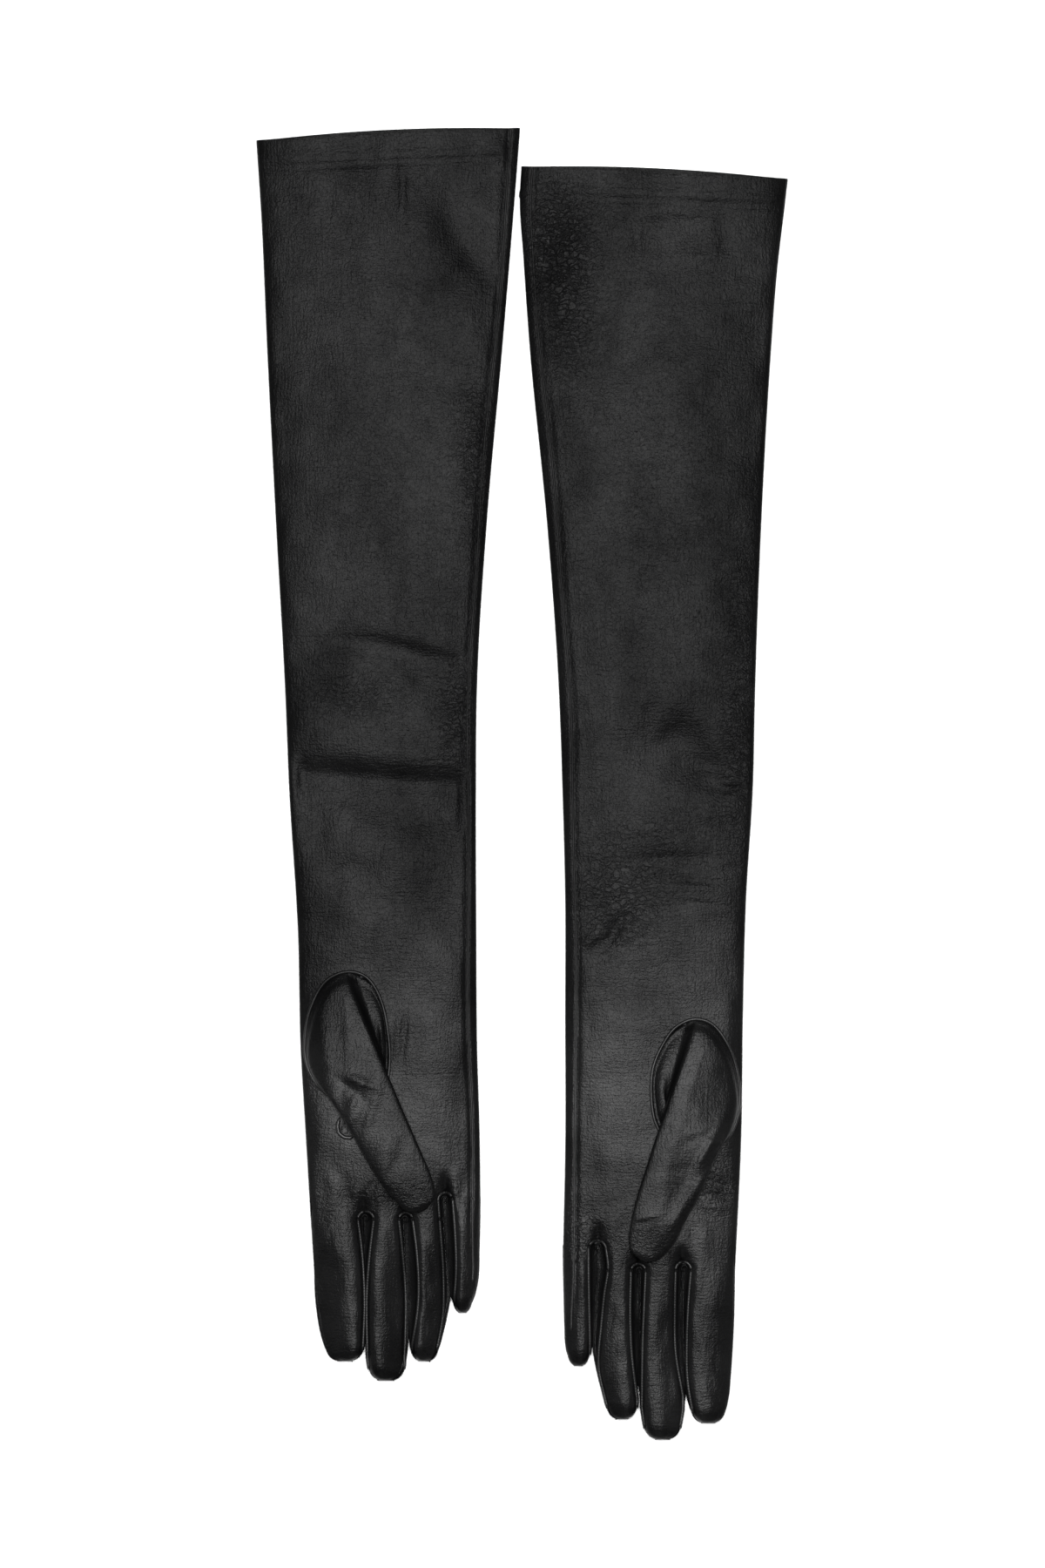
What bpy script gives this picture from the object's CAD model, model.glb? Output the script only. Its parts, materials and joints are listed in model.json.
# %% [markdown]
# # A pair of opera gloves
# The gloves are long black nappa leather, laid flat with the palms up. The frame gives the places
# of the bends, the finger roots and the fingertips. Each piece of leather is a grid that is rolled
# into a flattened tube, because a grid keeps even rows along the glove, and even rows bend cleanly
# at the joints.

# %% Load the frame
import json
import math

import bpy
import numpy as np
from mathutils import Matrix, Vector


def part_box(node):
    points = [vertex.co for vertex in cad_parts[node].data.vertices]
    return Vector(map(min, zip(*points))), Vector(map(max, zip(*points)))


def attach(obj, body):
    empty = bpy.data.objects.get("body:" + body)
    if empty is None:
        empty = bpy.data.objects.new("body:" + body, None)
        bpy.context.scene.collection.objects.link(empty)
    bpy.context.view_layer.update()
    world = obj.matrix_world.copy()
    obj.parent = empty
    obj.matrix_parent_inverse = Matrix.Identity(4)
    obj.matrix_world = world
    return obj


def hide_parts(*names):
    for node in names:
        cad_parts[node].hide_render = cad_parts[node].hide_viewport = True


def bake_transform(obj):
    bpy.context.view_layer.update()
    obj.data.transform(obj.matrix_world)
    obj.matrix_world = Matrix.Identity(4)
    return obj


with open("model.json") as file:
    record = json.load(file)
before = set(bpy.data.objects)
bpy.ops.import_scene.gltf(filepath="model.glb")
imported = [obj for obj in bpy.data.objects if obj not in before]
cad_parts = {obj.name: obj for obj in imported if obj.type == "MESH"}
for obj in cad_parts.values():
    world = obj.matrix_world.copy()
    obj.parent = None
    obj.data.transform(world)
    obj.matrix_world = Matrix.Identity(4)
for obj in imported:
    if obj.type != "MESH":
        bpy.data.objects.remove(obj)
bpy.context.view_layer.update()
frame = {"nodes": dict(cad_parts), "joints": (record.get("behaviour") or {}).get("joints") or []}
joints = {joint["name"]: joint for joint in frame["joints"]}
MM = 0.001
SIDES = ("right", "left")
FINGERS = ("index", "middle", "ring", "little")

# %% [markdown]
# ## Measures
# Everything is worked out in one layout, in millimetres: u runs from the middle of the pair
# outwards, y along the glove. The right glove is the mirror image of that layout, so one set of
# functions makes both gloves.

# %% Outlines of the two gloves
# A row is y, the seam edge and the folded edge.
OUTLINE = {
    "right": [(335.3, 1, 137.2), (300, 3.8, 134.9), (225, 10.1, 131.6), (135, 18.2, 127.1),
              (45, 23.4, 122.2),
              (0, 23.8, 120.4), (-80, 23.6, 115.6), (-135, 23.2, 114.4), (-180, 21.9, 111.8),
              (-223.6, 21.4, 109.2)],
    "left": [(315.5, -0.4, 137.2), (299, -1.2, 135.3), (270, 0.6, 131.9), (225, 3.8, 128.5),
             (135, 12.8, 123.5),
             (45, 19.1, 120.2), (0, 20.7, 119.2), (-60, 22.2, 115.6), (-120, 22.2, 114),
             (-180, 22.3, 113.2),
             (-250, 20.9, 110)],
}
# Where the fingers divide the hand, from the folded edge to the seam
DIVIDES = {"right": (109.2, 82.1, 60.1, 39.6, 21.4), "left": (110, 82.1, 59.6, 38.9, 20.9)}
# Top of each fork between two fingers, on the palm side
FORKS = {"right": (-220.4, -221, -210.8), "left": (-246.4, -247.4, -235.4)}
# Both sides of each finger: y, side towards the middle of the pair, outer side
BANDS = {
    "right": [
        [(-223.6, 82.15, 109.2), (-247, 81.25, 107.6), (-270, 80.85, 106.2), (-284, 80.95, 103.8),
         (-292, 81.6, 101.4)],
        [(-223.6, 60.15, 82.1), (-247, 59.25, 81.2), (-270, 58.85, 80.8), (-288, 59, 80.8),
         (-302, 60.6, 79.4)],
        [(-223.6, 39.65, 60.1), (-240, 38.55, 59.5), (-257, 37.35, 59), (-264, 37.1, 58.8),
         (-276, 39.2, 58.8),
         (-292, 43.2, 57.8)],
        [(-213, 21.4, 39.6), (-223.6, 21.5, 39.6), (-240, 21.9, 38.5), (-257, 22.7, 37.3),
         (-263, 24, 37),
         (-268, 25.6, 35.8)],
    ],
    "left": [
        [(-250, 82.15, 110), (-278, 81.95, 109.4), (-305, 83.3, 107.8), (-316, 85, 106.8),
         (-324, 87.2, 105.2)],
        [(-250, 59.75, 82.1), (-278, 59.65, 81.9), (-290, 59.65, 82.2), (-316, 60.8, 84),
         (-331, 62.8, 82)],
        [(-250, 38.95, 59.7), (-262, 38.05, 59.6), (-278, 37.05, 59.6), (-290, 36.5, 59.6),
         (-301, 38.2, 59.7),
         (-322, 43.6, 59.6)],
        [(-238, 20.9, 38.9), (-250, 21, 38.9), (-262, 21.3, 38), (-278, 21.7, 37), (-290, 22.3, 36.1),
         (-295, 23.2, 35)],
    ],
}
# Seams between palm panel and side strips: (finger, side) and rows of y, u down from the fork's arch
LIPS = {
    "right": {
        (0, -1): [(-224.4, 84.8), (-240, 82.8), (-265, 81.4), (-292, 82.2)],
        (1, 1): [(-224.4, 76.4), (-240, 78.3), (-259, 79.9), (-300, 79.8)],
        (1, -1): [(-224.6, 63.6), (-240, 61.9), (-262, 60.2), (-300, 60.8)],
        (2, 1): [(-224.6, 56.4), (-240, 54.4), (-267, 53.5), (-292, 57)],
        (2, -1): [(-214.6, 43.4), (-230, 42.2), (-252, 40.7), (-275, 41), (-291, 43.8)],
        (3, 1): [(-214.6, 35.8), (-230, 34.6), (-252, 34), (-267, 35)],
    },
    "left": {
        (0, -1): [(-250.4, 87.2), (-270, 85.7), (-286, 85.1), (-309, 85.6), (-324, 88)],
        (1, 1): [(-250.4, 79.2), (-270, 78.8), (-293, 79.2), (-316, 83)],
        (1, -1): [(-251.3, 63.8), (-290, 62.2), (-325, 61.8)],
        (2, 1): [(-251.3, 56.1), (-275, 55.7), (-293, 56.4), (-320, 59.6)],
        (2, -1): [(-240, 43.4), (-248, 44.4), (-263, 42.5), (-278, 41), (-301, 39.6), (-322, 44)],
        (3, 1): [(-240, 34.2), (-256, 34.3), (-286, 34.9)],
    },
}
# Thumb hole: a closed outline of (u, y)
HOLE = {
    "right": [(90.5, -96.8), (79.6, -100.2), (72.4, -112.5), (69, -129.6), (68.4, -145),
              (71.5, -158), (82, -165),
              (95, -163), (105, -156), (111, -145), (112.2, -133), (109.6, -117), (102, -102.4)],
    "left": [(89, -121.2), (79.5, -125.2), (73, -133.5), (67.6, -146), (66.6, -160), (69, -175),
             (77, -186),
             (88, -189), (99, -187), (108, -180), (112.2, -165), (111.2, -150), (106.9, -136),
             (98.8, -124.4)],
}
# The point of the hole, counted from its top, where the thumb's outer edge starts
HOLE_CORNER = {"right": 8, "left": 9}
# How far the ridge of each finger lies to one side, as a share of its half width, from index to little
SKEW = {"right": (0.5, -0.5, -0.42, -0.15), "left": (0.25, 0.35, -0.3, -0.2)}
# Thumb: distance beyond its bend, inner edge, outer edge
THUMB = {
    "right": [(0, -18, 14.6), (12, -17.6, 12.8), (22, -17.3, 11.8), (45, -16.8, 9.8), (56, -16.4, 7.6),
              (64, -15.2, 5), (69.5, -12.6, 2.6), (72, -9.4, 0)],
    "left": [(0, -18, 15.6), (12, -17.8, 14.2), (24, -17.3, 14), (45, -16.2, 11), (56, -14.6, 9.8),
             (64, -12.4, 7), (69, -8.6, 3.6), (71, -4, 1)],
}
LEAN = {"right": 24.8, "left": 20}  # degrees that each thumb leans over the palm
BODY_H = 10  # height of the sleeve along its middle
FINGER_H = 9.6  # height of a finger at its root
THUMB_Z = 10.5  # underside of a thumb
THUMB_H = 7.4  # thickness of a thumb
EDGE_SHARE = 0.45  # where the rolled edge lies, as a share of the height
CROWN = 0.7  # roundness of the palm side: 1 is an ellipse, less is flatter on top
FLATNESS = 1.7  # how quickly the underside reaches the table
CUFF_RISE = 6.4  # how much higher the cuff is cut at the folded edge
HEM = 13  # depth of the hem
LEATHER_T = 0.75  # thickness of the sleeve leather
FINGER_T = 0.6  # thickness of the finger and thumb leather
SEAM_WAVE = 23  # the outseam wavers a little: one wave is about six times this long
print("finger widths at the root:",
      {side: [round(band[0][2] - band[0][1], 1) for band in BANDS[side]] for side in SIDES})

# %% Places from the frame
def place_y(joint):
    """A joint's distance along the glove, in millimetres."""
    return joints[joint]["pos_m"][1] / MM


GLOVES = {}
for side in SIDES:
    base = joints[f"{side}_thumb_lift"]["pos_m"]
    GLOVES[side] = {
        "cuff": OUTLINE[side][0][0],
        "fold": place_y(f"{side}_sleeve_fold"),
        "wrist": place_y(f"{side}_wrist_bend"),
        "roots": [place_y(f"{side}_{f}_curl") for f in FINGERS],
        "tips": [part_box(f"{side}_{f}_finger")[0][1] / MM for f in FINGERS],
        "thumb": (abs(base[0]) / MM, base[1] / MM),
    }
    print(side, {k: np.round(v, 1).tolist() for k, v in GLOVES[side].items()})


# %% Curves and steps
def curve(rows, at):
    """Smooth values of rows[:, 1:] at each place along rows[:, 0]."""
    rows = np.array(sorted(rows), float)
    x, y = rows[:, 0], rows[:, 1:]
    slope = np.gradient(y, x, axis=0)
    at = np.clip(np.asarray(at, float), x[0], x[-1])
    k = np.clip(np.searchsorted(x, at, side="right") - 1, 0, len(x) - 2)
    h = (x[k + 1] - x[k])[..., None]
    t = ((at - x[k])[..., None]) / h
    return (
        (2 * t**3 - 3 * t**2 + 1) * y[k] + (t**3 - 2 * t**2 + t) * h * slope[k]
        + (3 * t**2 - 2 * t**3) * y[k + 1] + (t**3 - t**2) * h * slope[k + 1]
    )


def step(x, low, high):
    """0 below low, 1 above high and smooth between."""
    t = np.clip((np.asarray(x, float) - low) / (high - low), 0, 1)
    return t * t * (3 - 2 * t)


def bump(x, middle, width):
    """A smooth hump of height 1 round middle."""
    return np.exp(-(((x - middle) / width) ** 2))


def edges(side, y):
    """Seam edge and folded edge at y."""
    both = curve(OUTLINE[side], y)
    return both[..., 0], both[..., 1]


SLANT_FROM = 150  # where the slant of the cuff starts to show along the sleeve


def slant(side, y):
    """How far the cuff's cut runs uphill towards the seam, dying away down the sleeve."""
    return CUFF_RISE * np.clip((y - SLANT_FROM) / (GLOVES[side]["cuff"] - SLANT_FROM), 0, None)


for side in SIDES:
    seam, fold = edges(side, GLOVES[side]["cuff"])
    print(side, "cuff is", round(float(fold - seam), 1), "mm wide")


# %% [markdown]
# ## The lie of the leather
# The palm side is a height over (u, y): a soft crown, and on it the folds that a long glove keeps.
# Each fold is a short ridge or valley with a middle, a direction, a length, a width and a depth, so
# every one can be tuned by eye.

# %% Folds and creases
# u, y, direction in degrees from u, length, width, height and, if lopsided, how wide the far side is
FOLDS = {
    "right": [
        (72, 1.5, 0, 90, 8.5, -3.2, 2.8), (80, -3, -3, 40, 3, 0.3), (95, 30, -4, 34, 9, 0.4),
        (60, 68, 8, 40, 5, -1.8, 3.2), (84, 64, 6, 18, 4, 0.3), (100, 62, -10, 16, 5, 0.4),
        (58, 52, 40, 16, 4, 0.3), (34, 40, -38, 9, 2.2, 0.5), (31, 33, -35, 8, 1.8, -0.5),
        (36, 25, -28, 10, 2.4, 0.45), (80, 52, 0, 30, 8, 0.25), (50, -20, 8, 24, 8, -0.9),
        (88, -46, 20, 16, 8, -0.7), (66, -34, 60, 18, 8, 0.4), (104, -22, 80, 20, 5, -0.4),
        (40, -66, 70, 24, 6, -0.4), (64, -129, 97, 15, 1.7, 0.35), (61, -131, 96, 16, 1.6, -0.3),
        (57.8, -132, 94, 12, 2.0, 0.15), (91, -211, 68, 11, 3.6, -0.8), (86, -213, 60, 8, 2.4, 0.3),
        (98, -212, 84, 14, 4, 0.3), (80, -209, 128, 6, 1.4, -0.25), (76, -207, 128, 6, 1.4, -0.25),
        (66, -214, 95, 9, 3.2, -0.5), (72, -208, 100, 10, 3.5, 0.3), (45, -206, 80, 10, 3, -0.3),
        (34, -203, 100, 10, 3.5, 0.3), (30, -207, 105, 9, 2.4, -0.4), (26, 276, 62, 34, 9, -1.5),
        (40, 262, 62, 34, 9, 0.5), (45, 190, 30, 40, 14, 0.5), (26, 182, -24, 9, 1.1, -0.35),
        (27, 172, -30, 10, 1.1, -0.35), (25, 160, -34, 8, 1.0, -0.3), (29, 196, -18, 9, 1.2, -0.3),
        (95.6, 307, 90, 13, 1.2, 0.85), (61.6, 306, 90, 14, 1.2, 0.85), (92, 294.8, 0, 4.5, 1.1, 0.35),
        (65, 294.6, 0, 4, 1.1, 0.3), (98.5, 304, 90, 12, 1.6, -0.3), (90.6, -177.4, 70, 4.2, 2.2, -1.1),
        (9, 322, 60, 9, 3, 1.3), (8, 312, 84, 12, 2.4, -0.7), (72, 318, 90, 10, 4, 0.25),
        (40, 316, 70, 8, 3, -0.3),
    ],
    "left": [
        (80, 17, -8, 25, 12, -2.8, 1.5), (66, 34, 60, 10, 5, -0.7), (94, 8, 12, 20, 7, -0.9),
        (70, 45, 5, 30, 6, 0.35), (112, 44, 10, 9, 2.2, -0.6), (111, -3, -8, 12, 2.0, -1.0),
        (108, 2, -8, 12, 2.4, 0.5), (111, -44, 3, 10, 2, -0.5), (47, -77, 44, 13, 3.6, -1.5),
        (43, -71, 44, 12, 2.2, 0.7), (40, -64, 8, 13, 1.3, -0.6), (44, -59, 2, 14, 1.2, -0.5),
        (52, -83, 20, 12, 1.4, -0.5), (56, -70, -20, 9, 1.3, -0.5), (36, -80, 30, 10, 2.4, 0.5),
        (48, -88, 15, 14, 2, -0.4), (62, -60, 8, 24, 3, 0.25), (70, -30, 4, 30, 4, 0.3),
        (60, -40, 0, 34, 4, -0.3), (88, -50, -2, 24, 1.5, -0.5), (86, -54, -3, 24, 2.2, 0.35),
        (92, -62, -6, 20, 1.4, -0.4), (90, -16, 5, 26, 4, 0.3), (74, -38, 3, 30, 1.4, -0.35),
        (52, -44, -4, 22, 1.3, -0.4), (60, -28, 6, 26, 1.6, -0.3), (88, -232, 110, 9, 3, -0.5),
        (94, -236, 105, 12, 4, 0.4), (60, -240, 60, 9, 3, -0.45), (48, -226, 55, 12, 4, 0.4),
        (36, -224, 100, 10, 3, -0.4), (100, -206, -12, 12, 1.6, -0.4), (101, -212, -8, 12, 1.6, -0.35),
        (98, -218, -10, 13, 1.6, 0.3), (100, -200, -16, 11, 1.8, 0.35), (16, 285, 70, 26, 6, -0.7),
        (60, 230, 20, 50, 18, -0.5), (103.5, 281, 88, 11, 2.6, -0.9), (99.5, 282, 90, 10, 1.4, 0.35),
        (97, 271.4, 0, 9, 1.5, 0.55), (80, 270.4, 2, 16, 1.8, 0.3), (60, 281, 78, 11, 4.5, -0.7),
        (80, 294, 2, 22, 3, -0.35), (98, 301, 85, 5, 1.6, 0.5), (93, 300, 95, 5, 1.6, 0.4),
        (112, 262, 12, 12, 3, -0.5), (114, 246, 6, 10, 2.4, 0.4), (84, 226, 10, 12, 6, -0.6),
        (20, 302, -20, 12, 1.6, -0.5), (24, 270, -14, 14, 1.4, -0.35), (28, 262, 8, 12, 1.4, -0.3),
    ],
}
OUTSEAM_IN = {"right": 4.2, "left": 5.4}  # from the edge to the rolled outseam
# Where the grain is broken into creases: u, y, half width, half length, strength
WORN = {
    "right": [(24, 172, 9, 40, 0.6), (32, 34, 10, 26, 0.7), (84, 46, 34, 12, 0.35),
              (118, 300, 8, 40, 0.2),
              (96, -218, 14, 14, 0.3), (60, -212, 30, 10, 0.5), (60, 120, 60, 120, 0.14)],
    "left": [(16, 280, 18, 28, 1.0), (22, 240, 14, 34, 0.55), (116, 90, 8, 120, 0.22),
             (46, -66, 24, 24, 0.6),
             (64, -34, 34, 24, 0.35), (100, -208, 14, 14, 0.8), (112, 20, 10, 60, 0.5),
             (70, 160, 60, 130, 0.2),
             (50, -236, 30, 12, 0.5), (28, -226, 8, 30, 0.5)],
}
# Middle, width and length of the imprint of each label
LABEL = {"right": (78.5, 307.6, 34, 26), "left": (82, 282.4, 41, 22)}
print("folds:", {side: len(rows) for side, rows in FOLDS.items()})

# %% Heights that the folds add
def folds(side, u, y):
    """Height of all the folds at (u, y)."""
    total = np.zeros(np.broadcast(u, y).shape)
    for fu, fy, turn, length, width, height, *far in FOLDS[side]:
        c, s = math.cos(math.radians(turn)), math.sin(math.radians(turn))
        along, across = (u - fu) * c + (y - fy) * s, (y - fy) * c - (u - fu) * s
        across = across + 0.35 * width * np.sin(along / length * 3.1 + fu)
        spread = np.where(across < 0, width * (far[0] if far else 1), width)
        total += height * np.exp(-((along / length) ** 2) - (across / spread) ** 2)
    return total


def wander(u, y, size, seed):
    """Smooth random-looking height from a few crossing waves, about -1 to 1."""
    rng = np.random.default_rng(seed)
    total = 0
    for k in range(7):
        turn, phase, scale = rng.uniform(0, math.pi), rng.uniform(0, 6.28), size * rng.uniform(0.7, 1.6)
        total = total + np.sin((u * math.cos(turn) + y * math.sin(turn)) / scale * 6.28 + phase)
    return total / 3.5


def worn(side, u, y):
    """How creased the grain is at (u, y), from 0 to 1."""
    total = 0
    for wu, wy, half, long, strength in WORN[side]:
        total = total + strength * np.exp(-(((u - wu) / half) ** 2) - ((y - wy) / long) ** 2)
    return np.clip(total, 0, 1)

# %% Relief of hem, label and seams
def relief(side, u, y):
    """What stands above or below the plain crown: hem, label, outseam valley and folds."""
    glove = GLOVES[side]
    seam, fold = edges(side, y)
    inside = step(u - seam, 1, 12) * step(fold - u, 1, 8)
    edge_y = glove["cuff"] - slant(side, y) * (u - (seam + fold) / 2) / (fold - seam)
    from_cuff = edge_y - y
    ripple = 0.8 * np.sin(u / 9.3) + 0.6 * np.sin(u / 4.1 + 1)
    pucker = 1 + 0.3 * np.sin(u / 2.3) + 0.25 * np.sin(u / 1.3 + 2)
    hem = 0.4 * (1 - step(from_cuff, HEM - 1, HEM + 2))
    hem = hem + 0.16 * pucker * bump(from_cuff + 0.2 * ripple, HEM - 1.5, 1.6)
    hem = hem - 0.4 * bump(from_cuff + 0.3 * ripple, HEM + 1.6, 1.5) + 0.2 * bump(from_cuff, 1.4, 1.2)
    lu, ly, lw, ll = LABEL[side]
    du, dy = np.abs(u - lu) - lw / 2, np.abs(y - ly) - ll / 2
    out = np.maximum(du, dy)
    label = 0.22 * (1 - step(out, -2.4, 1.6))
    label = label * step(from_cuff, HEM + 1.5, HEM + 4.5)
    small = 0.42 * wander(u, y, 48, 3) + 0.12 * wander(u, y, 15, 4)
    shallow = 0.05 * wander(u, y * 2.4, 9, 5 if side == "left" else 6) * step(120 - np.abs(y), 0, 90)
    beside = u - seam - OUTSEAM_IN[side] - 0.5 * np.sin(y / SEAM_WAVE)
    outseam = 0.22 * bump(beside, -1.4, 1.3) - 0.4 * bump(beside, 0.9, 0.9) + 0.12 * bump(beside, 3.4, 2)
    within = hem + label + folds(side, u, y) + small + shallow
    return outseam + inside * within + hem * (1 - inside) * 0.6


def crown(across, low, high, roundness=CROWN):
    """Upper height of a flattened tube, from -1 at one edge to 1 at the other."""
    edge = low + EDGE_SHARE * (high - low)
    return edge + (high - edge) * np.power(np.clip(1 - across**2, 0, 1), roundness / 2)


def belly(across, low, high):
    """Lower height, flat where it rests."""
    edge = low + EDGE_SHARE * (high - low)
    return np.maximum(low, edge - FLATNESS * (edge - low) * np.sqrt(np.clip(1 - across**2, 0, 1)))


# %% [markdown]
# ## Forks between the fingers
# On the palm the leather is cut into an arch at each fork, and the side strips of the fingers, the
# fourchettes, show inside it. `fork_arch` gives the middle, half width and top of that opening, so
# the palm, the fingers and the seams all agree on it.

# %% Shape of the forks
FINGER_ROUND = {"right": 1.3, "left": 1.1}  # fingers are rounder than the palm
TIP_ROUND = 10  # length of a fingertip's rounding


def fork_arch(side, fork):
    """Middle, half width and top of the arch at a fork."""
    high, low = LIPS[side][(fork, -1)][0][1], LIPS[side][(fork + 1, 1)][0][1]
    return (high + low) / 2, (high - low) / 2, FORKS[side][fork]


def finger_band(side, f, y):
    """The two sides of finger f at y."""
    both = curve(BANDS[side][f], y)
    return both[..., 0], both[..., 1]


def lips(side, f, y):
    """Where the palm panel of finger f ends at y: low and high seam, or None where it folds round."""
    found = []
    for sign, fork in ((-1, f), (1, f - 1)):
        if (f, sign) not in LIPS[side]:
            found.append(None)
            continue
        middle, half, top = fork_arch(side, fork)
        down = np.clip((top - np.asarray(y, float)) / half, 0, 1)
        arch = middle - sign * half * np.sqrt(np.clip(1 - (1 - down) ** 2, 0, 1))
        found.append(np.where(down < 1, arch, curve(LIPS[side][(f, sign)], y)[..., 0]))
    return found


def finger_top(side, f, u, y):
    """Upper height of finger f: a crowned panel, and side strips that fall away outside its seams."""
    low, high = finger_band(side, f, y)
    tall = FINGER_H - 0.8 * step(GLOVES[side]["roots"][f] - y, 0, 60)
    across = np.clip((2 * u - low - high) / (high - low), -1, 1)
    lean = SKEW[side][f] * step(GLOVES[side]["roots"][f] - y, 0, 34)
    z = crown(across + lean * (1 - across**2), 0, tall, FINGER_ROUND[side])
    middle = EDGE_SHARE * tall
    for sign, lip, edge in zip((-1, 1), lips(side, f, y), (low, high)):
        if lip is None:
            continue
        wide = sign * (edge - lip)
        lip_at = np.clip((2 * lip - low - high) / (high - low), -1, 1)
        lip_z = crown(lip_at + lean * (1 - lip_at**2), 0, tall, FINGER_ROUND[side])
        past = np.clip(sign * (u - lip) / np.maximum(wide, 0.05), 0, 1)
        strip = middle + (lip_z - middle) * (0.25 * (1 - past) + 0.75 * (1 - past) ** 4)
        z = np.where((wide > 0.2) & (sign * (u - lip) > 0), np.minimum(z, strip), z)
        # the panel rolls over into its seam
        inward = np.clip(-sign * (u - lip), 0, 6)
        roll = 0.9 * np.exp(-inward / 1.3) - 0.25 * bump(inward, 2.6, 1.6)
        roll = np.where(sign * (u - lip) <= 0, roll, 0)
        z = z - roll * step(wide, 0.1, 1.2)
    return z


def hand_heights(side, u, y):
    """Upper and lower height of the hand, which becomes four fingers at its end."""
    seam, fold = edges(side, y)
    across = (2 * u - seam - fold) / (fold - seam)
    top, low = crown(across, 0, BODY_H), belly(across, 0, BODY_H)
    roots = GLOVES[side]["roots"]
    for f in range(4):
        band0, band1 = DIVIDES[side][f + 1], DIVIDES[side][f]
        here = (u >= band0 - 1e-6) & (u <= band1 + 1e-6)
        share = step((u - band0) / (band1 - band0), 0.3, 0.7)
        low_root, high_root = max(roots[f], roots[min(f + 1, 3)]), max(roots[f], roots[max(f - 1, 0)])
        root = low_root + (high_root - low_root) * share
        near = 1 - step(y - root, -1, 15)
        shaped = finger_top(side, f, u, y)
        top = np.where(here, top + (np.minimum(top, shaped) - top) * near, top)
    return top, low


# %% [markdown]
# ## Tools of the bench
# Every piece starts as a flat grid. Its vertices are moved to their places, the edge that meets
# itself is welded, and the Solidify modifier gives the skin its thickness. Smooth shading stops at
# the cut edges.

# %% Shaping a grid
WELD = 0.00002  # vertices nearer than this, in metres, become one
SMOOTH = math.radians(70)  # shading stays smooth up to this angle between faces


def only(obj):
    """Select one object and make it active."""
    bpy.ops.object.select_all(action="DESELECT")
    obj.select_set(True)
    bpy.context.view_layer.objects.active = obj


def edit(obj, *steps):
    """Run operators in edit mode on all of an object."""
    only(obj)
    bpy.ops.object.mode_set(mode="EDIT")
    bpy.ops.mesh.select_all(action="SELECT")
    for run in steps:
        run()
    bpy.ops.object.mode_set(mode="OBJECT")


def grid(name, columns, rows, points):
    """A grid of columns by rows faces, its vertices moved to points[row, column] in millimetres."""
    bpy.ops.object.select_all(action="DESELECT")
    bpy.ops.mesh.primitive_grid_add(x_subdivisions=columns, y_subdivisions=rows, size=1)
    obj = bpy.context.object
    obj.name = obj.data.name = name
    flat = np.empty(len(obj.data.vertices) * 3)
    obj.data.vertices.foreach_get("co", flat)
    at = flat.reshape(-1, 3)
    i = np.rint((at[:, 0] + 0.5) * columns).astype(int)
    j = np.rint((at[:, 1] + 0.5) * rows).astype(int)
    obj.data.vertices.foreach_set("co", (np.asarray(points)[j, i] * MM).ravel())
    return obj


def drop_faces(obj, unwanted):
    """Delete the faces whose middles, in millimetres, `unwanted` marks."""
    only(obj)
    middles = np.array([p.center[:] for p in obj.data.polygons]) / MM
    mark = unwanted(middles[:, 0], middles[:, 1], middles[:, 2])
    bpy.ops.object.mode_set(mode="EDIT")
    bpy.ops.mesh.select_mode(type="FACE")
    bpy.ops.mesh.select_all(action="DESELECT")
    bpy.ops.object.mode_set(mode="OBJECT")
    obj.data.polygons.foreach_set("select", mark.astype(bool))
    bpy.ops.object.mode_set(mode="EDIT")
    bpy.ops.mesh.delete(type="FACE")
    bpy.ops.object.mode_set(mode="OBJECT")

# %% Welding, thickness and finish
def close(obj, side):
    """Weld the rolled edge, mirror the right glove, and turn the faces outwards."""
    if side == "right":
        obj.data.transform(Matrix.Scale(-1, 4, (1, 0, 0)))
    edit(obj, lambda: bpy.ops.mesh.remove_doubles(threshold=WELD))
    edit(obj, lambda: bpy.ops.mesh.normals_make_consistent(inside=False))
    normals = np.array([p.normal[:] for p in obj.data.polygons])
    middles = np.array([p.center[:] for p in obj.data.polygons])
    high = middles[:, 2] > np.quantile(middles[:, 2], 0.7)
    if normals[high, 2].mean() < 0:
        edit(obj, lambda: bpy.ops.mesh.flip_normals())
    only(obj)
    bpy.ops.object.shade_smooth_by_angle(angle=SMOOTH)
    return obj


def thicken(obj, thickness):
    """Give a skin its thickness, inwards."""
    only(obj)
    wall = obj.modifiers.new("thickness", "SOLIDIFY")
    wall.thickness, wall.offset = thickness * MM, -1
    bpy.ops.object.modifier_apply(modifier=wall.name)
    bpy.ops.object.shade_smooth_by_angle(angle=SMOOTH)


def sown(side, u):
    """A layout coordinate u as X."""
    return -u if side == "right" else u


made = []


def finish_piece(obj, material, body, replaces, bend=None):
    """Give a piece its finish and its body. bend is (other body, start, end) where it crosses a joint."""
    obj.data.materials.clear()
    obj.data.materials.append(material)
    places = np.empty(len(obj.data.vertices) * 3)
    obj.data.vertices.foreach_get("co", places)
    places = places.reshape(-1, 3) / MM
    creased = worn(body.split("_")[0], np.abs(places[:, 0]), places[:, 1])
    obj.data.attributes.new("worn", "FLOAT", "POINT").data.foreach_set("value", creased)
    if bend:
        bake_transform(obj)
    else:
        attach(obj, body)
    if replaces:
        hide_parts(*replaces)
    made.append(obj)
    return obj

# %% [markdown]
# ## Leather
# Nappa is lambskin: close to black, with a fine net of hairlines that run along and across the
# glove, and small cells between them. The sleeves are matt. The hands, which are handled and
# steamed into shape, shine a little more. The net is one node group, so the sleeves, the side
# strips and the seams all get the same grain.

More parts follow.
